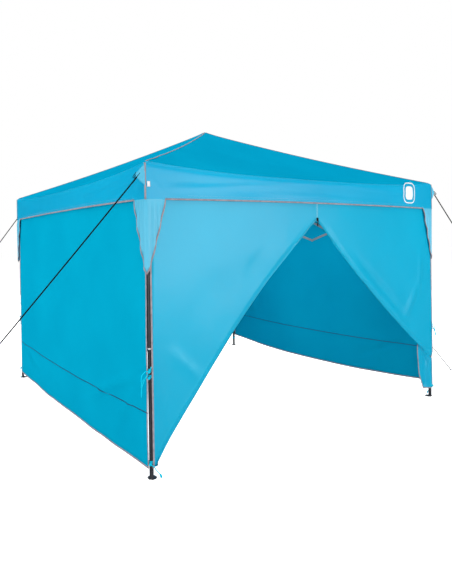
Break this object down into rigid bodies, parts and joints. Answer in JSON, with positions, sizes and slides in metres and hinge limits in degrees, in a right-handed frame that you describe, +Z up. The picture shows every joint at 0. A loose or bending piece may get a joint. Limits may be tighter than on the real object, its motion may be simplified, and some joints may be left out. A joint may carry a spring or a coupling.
{
  "type": "pop up gazebo",
  "caption": "Square pop up gazebo: telescopic legs, scissor trusses, folding roof arms, peaked canopy with valance, side walls with a zipped doorway, and guy ropes.",
  "frame": {"origin": "on the ground under the centre of the square plan", "axes": "+Z up; the side with the zipped doorway faces -Y; its left leg is at -X -Y"},
  "size_m": [5.2689, 3.6757, 2.575],
  "materials": {
    "canopy_cloth": "matt coated polyester",
    "wall_cloth": "matt coated polyester",
    "leg_steel": "satin powder coat",
    "bar_steel": "satin powder coat",
    "bracket_plastic": "moulded nylon",
    "zinc": "zinc plated",
    "rope": "braided cord"
  },
  "bodies": {
    "hub": {"centre_hub": "bracket_plastic", "centre_mast": "zinc", "canopy": "canopy_cloth"},
    "arm_upper_front_left": {"roof_arm_upper_front_left": "bar_steel"},
    "arm_lower_front_left": {"roof_arm_lower_front_left": "bar_steel"},
    "leg_front_left": {"leg_outer_front_left": "leg_steel", "wall_front": "wall_cloth", "guy_rope_front_left": "rope"},
    "foot_front_left": {"leg_inner_front_left": "leg_steel"},
    "lock_front_left": {"leg_lock_front_left": "zinc"},
    "slider_front_left": {"slider_front_left": "bracket_plastic"},
    "arm_upper_front_right": {"roof_arm_upper_front_right": "bar_steel"},
    "arm_lower_front_right": {"roof_arm_lower_front_right": "bar_steel"},
    "leg_front_right": {"leg_outer_front_right": "leg_steel", "wall_right": "wall_cloth", "guy_rope_front_right": "rope", "guy_rope_right_side": "rope"},
    "foot_front_right": {"leg_inner_front_right": "leg_steel"},
    "lock_front_right": {"leg_lock_front_right": "zinc"},
    "slider_front_right": {"slider_front_right": "bracket_plastic"},
    "arm_upper_back_right": {"roof_arm_upper_back_right": "bar_steel"},
    "arm_lower_back_right": {"roof_arm_lower_back_right": "bar_steel"},
    "leg_back_right": {"leg_outer_back_right": "leg_steel", "wall_back": "wall_cloth"},
    "foot_back_right": {"leg_inner_back_right": "leg_steel"},
    "lock_back_right": {"leg_lock_back_right": "zinc"},
    "slider_back_right": {"slider_back_right": "bracket_plastic"},
    "arm_upper_back_left": {"roof_arm_upper_back_left": "bar_steel"},
    "arm_lower_back_left": {"roof_arm_lower_back_left": "bar_steel"},
    "leg_back_left": {"leg_outer_back_left": "leg_steel", "wall_left": "wall_cloth", "guy_rope_back_left": "rope"},
    "foot_back_left": {"leg_inner_back_left": "leg_steel"},
    "lock_back_left": {"leg_lock_back_left": "zinc"},
    "slider_back_left": {"slider_back_left": "bracket_plastic"},
    "front_fall_1": {"truss_front_fall_1": "bar_steel"},
    "front_rise_1": {"truss_front_rise_1": "bar_steel"},
    "front_fall_2": {"truss_front_fall_2": "bar_steel"},
    "front_rise_2": {"truss_front_rise_2": "bar_steel"},
    "front_fall_3": {"truss_front_fall_3": "bar_steel"},
    "front_rise_3": {"truss_front_rise_3": "bar_steel"},
    "right_fall_1": {"truss_right_fall_1": "bar_steel"},
    "right_rise_1": {"truss_right_rise_1": "bar_steel"},
    "right_fall_2": {"truss_right_fall_2": "bar_steel"},
    "right_rise_2": {"truss_right_rise_2": "bar_steel"},
    "right_fall_3": {"truss_right_fall_3": "bar_steel"},
    "right_rise_3": {"truss_right_rise_3": "bar_steel"},
    "back_fall_1": {"truss_back_fall_1": "bar_steel"},
    "back_rise_1": {"truss_back_rise_1": "bar_steel"},
    "back_fall_2": {"truss_back_fall_2": "bar_steel"},
    "back_rise_2": {"truss_back_rise_2": "bar_steel"},
    "back_fall_3": {"truss_back_fall_3": "bar_steel"},
    "back_rise_3": {"truss_back_rise_3": "bar_steel"},
    "left_fall_1": {"truss_left_fall_1": "bar_steel"},
    "left_rise_1": {"truss_left_rise_1": "bar_steel"},
    "left_fall_2": {"truss_left_fall_2": "bar_steel"},
    "left_rise_2": {"truss_left_rise_2": "bar_steel"},
    "left_fall_3": {"truss_left_fall_3": "bar_steel"},
    "left_rise_3": {"truss_left_rise_3": "bar_steel"}
  },
  "joints": [
    {"name": "fold", "type": "hinge", "parent": "hub", "child": "arm_upper_front_left", "pos_m": [-0.0303, -0.0303, 1.895], "axis": [0.7071, -0.7071, 0], "range_deg": [0, 60], "deforming": ["canopy", "wall_front", "wall_right", "wall_back", "wall_left"]},
    {"name": "fold_arm_lower_front_left", "type": "hinge", "parent": "arm_upper_front_left", "child": "arm_lower_front_left", "pos_m": [-0.7363, -0.7363, 1.46013], "axis": [-0.7071, 0.7071, 0], "range_deg": [0, 120]},
    {"name": "fold_leg_front_left", "type": "hinge", "parent": "arm_lower_front_left", "child": "leg_front_left", "pos_m": [-1.4423, -1.4423, 1.895], "axis": [0.7071, -0.7071, 0], "range_deg": [0, 60]},
    {"name": "fold_arm_upper_front_right", "type": "hinge", "parent": "hub", "child": "arm_upper_front_right", "pos_m": [0.0303, -0.0303, 1.895], "axis": [0.7071, 0.7071, 0], "range_deg": [0, 60]},
    {"name": "fold_arm_lower_front_right", "type": "hinge", "parent": "arm_upper_front_right", "child": "arm_lower_front_right", "pos_m": [0.7363, -0.7363, 1.46013], "axis": [-0.7071, -0.7071, 0], "range_deg": [0, 120]},
    {"name": "fold_leg_front_right", "type": "hinge", "parent": "arm_lower_front_right", "child": "leg_front_right", "pos_m": [1.4423, -1.4423, 1.895], "axis": [0.7071, 0.7071, 0], "range_deg": [0, 60]},
    {"name": "fold_arm_upper_back_right", "type": "hinge", "parent": "hub", "child": "arm_upper_back_right", "pos_m": [0.0303, 0.0303, 1.895], "axis": [-0.7071, 0.7071, 0], "range_deg": [0, 60]},
    {"name": "fold_arm_lower_back_right", "type": "hinge", "parent": "arm_upper_back_right", "child": "arm_lower_back_right", "pos_m": [0.7363, 0.7363, 1.46013], "axis": [0.7071, -0.7071, 0], "range_deg": [0, 120]},
    {"name": "fold_leg_back_right", "type": "hinge", "parent": "arm_lower_back_right", "child": "leg_back_right", "pos_m": [1.4423, 1.4423, 1.895], "axis": [-0.7071, 0.7071, 0], "range_deg": [0, 60]},
    {"name": "fold_arm_upper_back_left", "type": "hinge", "parent": "hub", "child": "arm_upper_back_left", "pos_m": [-0.0303, 0.0303, 1.895], "axis": [-0.7071, -0.7071, 0], "range_deg": [0, 60]},
    {"name": "fold_arm_lower_back_left", "type": "hinge", "parent": "arm_upper_back_left", "child": "arm_lower_back_left", "pos_m": [-0.7363, 0.7363, 1.46013], "axis": [0.7071, 0.7071, 0], "range_deg": [0, 120]},
    {"name": "fold_leg_back_left", "type": "hinge", "parent": "arm_lower_back_left", "child": "leg_back_left", "pos_m": [-1.4423, 1.4423, 1.895], "axis": [-0.7071, -0.7071, 0], "range_deg": [0, 60]},
    {"name": "fold_front_fall_1", "type": "hinge", "parent": "leg_front_left", "child": "front_fall_1", "pos_m": [-1.412, -1.472, 1.895], "axis": [0, 1, 0], "range_deg": [0, 60]},
    {"name": "fold_front_rise_1", "type": "hinge", "parent": "front_fall_1", "child": "front_rise_1", "pos_m": [-0.94133, -1.472, 1.69], "axis": [0, -1, 0], "range_deg": [0, 120]},
    {"name": "fold_front_fall_2", "type": "hinge", "parent": "front_rise_1", "child": "front_fall_2", "pos_m": [-0.47067, -1.472, 1.895], "axis": [0, 1, 0], "range_deg": [0, 120]},
    {"name": "fold_front_rise_2", "type": "hinge", "parent": "front_fall_1", "child": "front_rise_2", "pos_m": [-0.47067, -1.472, 1.485], "axis": [0, -1, 0], "range_deg": [0, 120]},
    {"name": "fold_front_rise_3", "type": "hinge", "parent": "leg_front_right", "child": "front_rise_3", "pos_m": [1.412, -1.472, 1.895], "axis": [0, -1, 0], "range_deg": [0, 60]},
    {"name": "fold_front_fall_3", "type": "hinge", "parent": "front_rise_3", "child": "front_fall_3", "pos_m": [0.94133, -1.472, 1.69], "axis": [0, 1, 0], "range_deg": [0, 120]},
    {"name": "fold_slider_front_left", "type": "hinge", "parent": "front_rise_1", "child": "slider_front_left", "pos_m": [-1.412, -1.472, 1.485], "axis": [0, 1, 0], "range_deg": [0, 60]},
    {"name": "fold_right_fall_1", "type": "hinge", "parent": "leg_front_right", "child": "right_fall_1", "pos_m": [1.472, -1.412, 1.895], "axis": [-1, 0, 0], "range_deg": [0, 60]},
    {"name": "fold_right_rise_1", "type": "hinge", "parent": "right_fall_1", "child": "right_rise_1", "pos_m": [1.472, -0.94133, 1.69], "axis": [1, 0, 0], "range_deg": [0, 120]},
    {"name": "fold_right_fall_2", "type": "hinge", "parent": "right_rise_1", "child": "right_fall_2", "pos_m": [1.472, -0.47067, 1.895], "axis": [-1, 0, 0], "range_deg": [0, 120]},
    {"name": "fold_right_rise_2", "type": "hinge", "parent": "right_fall_1", "child": "right_rise_2", "pos_m": [1.472, -0.47067, 1.485], "axis": [1, 0, 0], "range_deg": [0, 120]},
    {"name": "fold_right_rise_3", "type": "hinge", "parent": "leg_back_right", "child": "right_rise_3", "pos_m": [1.472, 1.412, 1.895], "axis": [1, 0, 0], "range_deg": [0, 60]},
    {"name": "fold_right_fall_3", "type": "hinge", "parent": "right_rise_3", "child": "right_fall_3", "pos_m": [1.472, 0.94133, 1.69], "axis": [-1, 0, 0], "range_deg": [0, 120]},
    {"name": "fold_slider_front_right", "type": "hinge", "parent": "right_rise_1", "child": "slider_front_right", "pos_m": [1.472, -1.412, 1.485], "axis": [-1, 0, 0], "range_deg": [0, 60]},
    {"name": "fold_back_fall_1", "type": "hinge", "parent": "leg_back_right", "child": "back_fall_1", "pos_m": [1.412, 1.472, 1.895], "axis": [0, -1, 0], "range_deg": [0, 60]},
    {"name": "fold_back_rise_1", "type": "hinge", "parent": "back_fall_1", "child": "back_rise_1", "pos_m": [0.94133, 1.472, 1.69], "axis": [0, 1, 0], "range_deg": [0, 120]},
    {"name": "fold_back_fall_2", "type": "hinge", "parent": "back_rise_1", "child": "back_fall_2", "pos_m": [0.47067, 1.472, 1.895], "axis": [0, -1, 0], "range_deg": [0, 120]},
    {"name": "fold_back_rise_2", "type": "hinge", "parent": "back_fall_1", "child": "back_rise_2", "pos_m": [0.47067, 1.472, 1.485], "axis": [0, 1, 0], "range_deg": [0, 120]},
    {"name": "fold_back_rise_3", "type": "hinge", "parent": "leg_back_left", "child": "back_rise_3", "pos_m": [-1.412, 1.472, 1.895], "axis": [0, 1, 0], "range_deg": [0, 60]},
    {"name": "fold_back_fall_3", "type": "hinge", "parent": "back_rise_3", "child": "back_fall_3", "pos_m": [-0.94133, 1.472, 1.69], "axis": [0, -1, 0], "range_deg": [0, 120]},
    {"name": "fold_slider_back_right", "type": "hinge", "parent": "back_rise_1", "child": "slider_back_right", "pos_m": [1.412, 1.472, 1.485], "axis": [0, -1, 0], "range_deg": [0, 60]},
    {"name": "fold_left_fall_1", "type": "hinge", "parent": "leg_back_left", "child": "left_fall_1", "pos_m": [-1.472, 1.412, 1.895], "axis": [1, 0, 0], "range_deg": [0, 60]},
    {"name": "fold_left_rise_1", "type": "hinge", "parent": "left_fall_1", "child": "left_rise_1", "pos_m": [-1.472, 0.94133, 1.69], "axis": [-1, 0, 0], "range_deg": [0, 120]},
    {"name": "fold_left_fall_2", "type": "hinge", "parent": "left_rise_1", "child": "left_fall_2", "pos_m": [-1.472, 0.47067, 1.895], "axis": [1, 0, 0], "range_deg": [0, 120]},
    {"name": "fold_left_rise_2", "type": "hinge", "parent": "left_fall_1", "child": "left_rise_2", "pos_m": [-1.472, 0.47067, 1.485], "axis": [-1, 0, 0], "range_deg": [0, 120]},
    {"name": "fold_left_rise_3", "type": "hinge", "parent": "leg_front_left", "child": "left_rise_3", "pos_m": [-1.472, -1.412, 1.895], "axis": [-1, 0, 0], "range_deg": [0, 60]},
    {"name": "fold_left_fall_3", "type": "hinge", "parent": "left_rise_3", "child": "left_fall_3", "pos_m": [-1.472, -0.94133, 1.69], "axis": [1, 0, 0], "range_deg": [0, 120]},
    {"name": "fold_slider_back_left", "type": "hinge", "parent": "left_rise_1", "child": "slider_back_left", "pos_m": [-1.472, 1.412, 1.485], "axis": [1, 0, 0], "range_deg": [0, 60]},
    {"name": "leg_slide_front_left", "type": "slide", "parent": "leg_front_left", "child": "foot_front_left", "axis": [0, 0, 1], "range_m": [0, 0.75]},
    {"name": "lock_pull_front_left", "type": "slide", "parent": "leg_front_left", "child": "lock_front_left", "axis": [1, 0, 0], "range_m": [0, 0.005], "stiffness_N_per_m": 400},
    {"name": "leg_slide_front_right", "type": "slide", "parent": "leg_front_right", "child": "foot_front_right", "axis": [0, 0, 1], "range_m": [0, 0.75]},
    {"name": "lock_pull_front_right", "type": "slide", "parent": "leg_front_right", "child": "lock_front_right", "axis": [0, 1, 0], "range_m": [0, 0.005], "stiffness_N_per_m": 400},
    {"name": "leg_slide_back_right", "type": "slide", "parent": "leg_back_right", "child": "foot_back_right", "axis": [0, 0, 1], "range_m": [0, 0.75]},
    {"name": "lock_pull_back_right", "type": "slide", "parent": "leg_back_right", "child": "lock_back_right", "axis": [-1, 0, 0], "range_m": [0, 0.005], "stiffness_N_per_m": 400},
    {"name": "leg_slide_back_left", "type": "slide", "parent": "leg_back_left", "child": "foot_back_left", "axis": [0, 0, 1], "range_m": [0, 0.75]},
    {"name": "lock_pull_back_left", "type": "slide", "parent": "leg_back_left", "child": "lock_back_left", "axis": [0, -1, 0], "range_m": [0, 0.005], "stiffness_N_per_m": 400}
  ],
  "couplings": [
    {"joint": "fold_arm_lower_front_left", "follows": "fold", "ratio": 2},
    {"joint": "fold_leg_front_left", "follows": "fold", "ratio": 1},
    {"joint": "fold_arm_upper_front_right", "follows": "fold", "ratio": 1},
    {"joint": "fold_arm_lower_front_right", "follows": "fold", "ratio": 2},
    {"joint": "fold_leg_front_right", "follows": "fold", "ratio": 1},
    {"joint": "fold_arm_upper_back_right", "follows": "fold", "ratio": 1},
    {"joint": "fold_arm_lower_back_right", "follows": "fold", "ratio": 2},
    {"joint": "fold_leg_back_right", "follows": "fold", "ratio": 1},
    {"joint": "fold_arm_upper_back_left", "follows": "fold", "ratio": 1},
    {"joint": "fold_arm_lower_back_left", "follows": "fold", "ratio": 2},
    {"joint": "fold_leg_back_left", "follows": "fold", "ratio": 1},
    {"joint": "fold_front_fall_1", "follows": "fold", "ratio": 1},
    {"joint": "fold_front_rise_1", "follows": "fold", "ratio": 2},
    {"joint": "fold_front_fall_2", "follows": "fold", "ratio": 2},
    {"joint": "fold_front_rise_2", "follows": "fold", "ratio": 2},
    {"joint": "fold_front_rise_3", "follows": "fold", "ratio": 1},
    {"joint": "fold_front_fall_3", "follows": "fold", "ratio": 2},
    {"joint": "fold_slider_front_left", "follows": "fold", "ratio": 1},
    {"joint": "fold_right_fall_1", "follows": "fold", "ratio": 1},
    {"joint": "fold_right_rise_1", "follows": "fold", "ratio": 2},
    {"joint": "fold_right_fall_2", "follows": "fold", "ratio": 2},
    {"joint": "fold_right_rise_2", "follows": "fold", "ratio": 2},
    {"joint": "fold_right_rise_3", "follows": "fold", "ratio": 1},
    {"joint": "fold_right_fall_3", "follows": "fold", "ratio": 2},
    {"joint": "fold_slider_front_right", "follows": "fold", "ratio": 1},
    {"joint": "fold_back_fall_1", "follows": "fold", "ratio": 1},
    {"joint": "fold_back_rise_1", "follows": "fold", "ratio": 2},
    {"joint": "fold_back_fall_2", "follows": "fold", "ratio": 2},
    {"joint": "fold_back_rise_2", "follows": "fold", "ratio": 2},
    {"joint": "fold_back_rise_3", "follows": "fold", "ratio": 1},
    {"joint": "fold_back_fall_3", "follows": "fold", "ratio": 2},
    {"joint": "fold_slider_back_right", "follows": "fold", "ratio": 1},
    {"joint": "fold_left_fall_1", "follows": "fold", "ratio": 1},
    {"joint": "fold_left_rise_1", "follows": "fold", "ratio": 2},
    {"joint": "fold_left_fall_2", "follows": "fold", "ratio": 2},
    {"joint": "fold_left_rise_2", "follows": "fold", "ratio": 2},
    {"joint": "fold_left_rise_3", "follows": "fold", "ratio": 1},
    {"joint": "fold_left_fall_3", "follows": "fold", "ratio": 2},
    {"joint": "fold_slider_back_left", "follows": "fold", "ratio": 1}
  ]
}
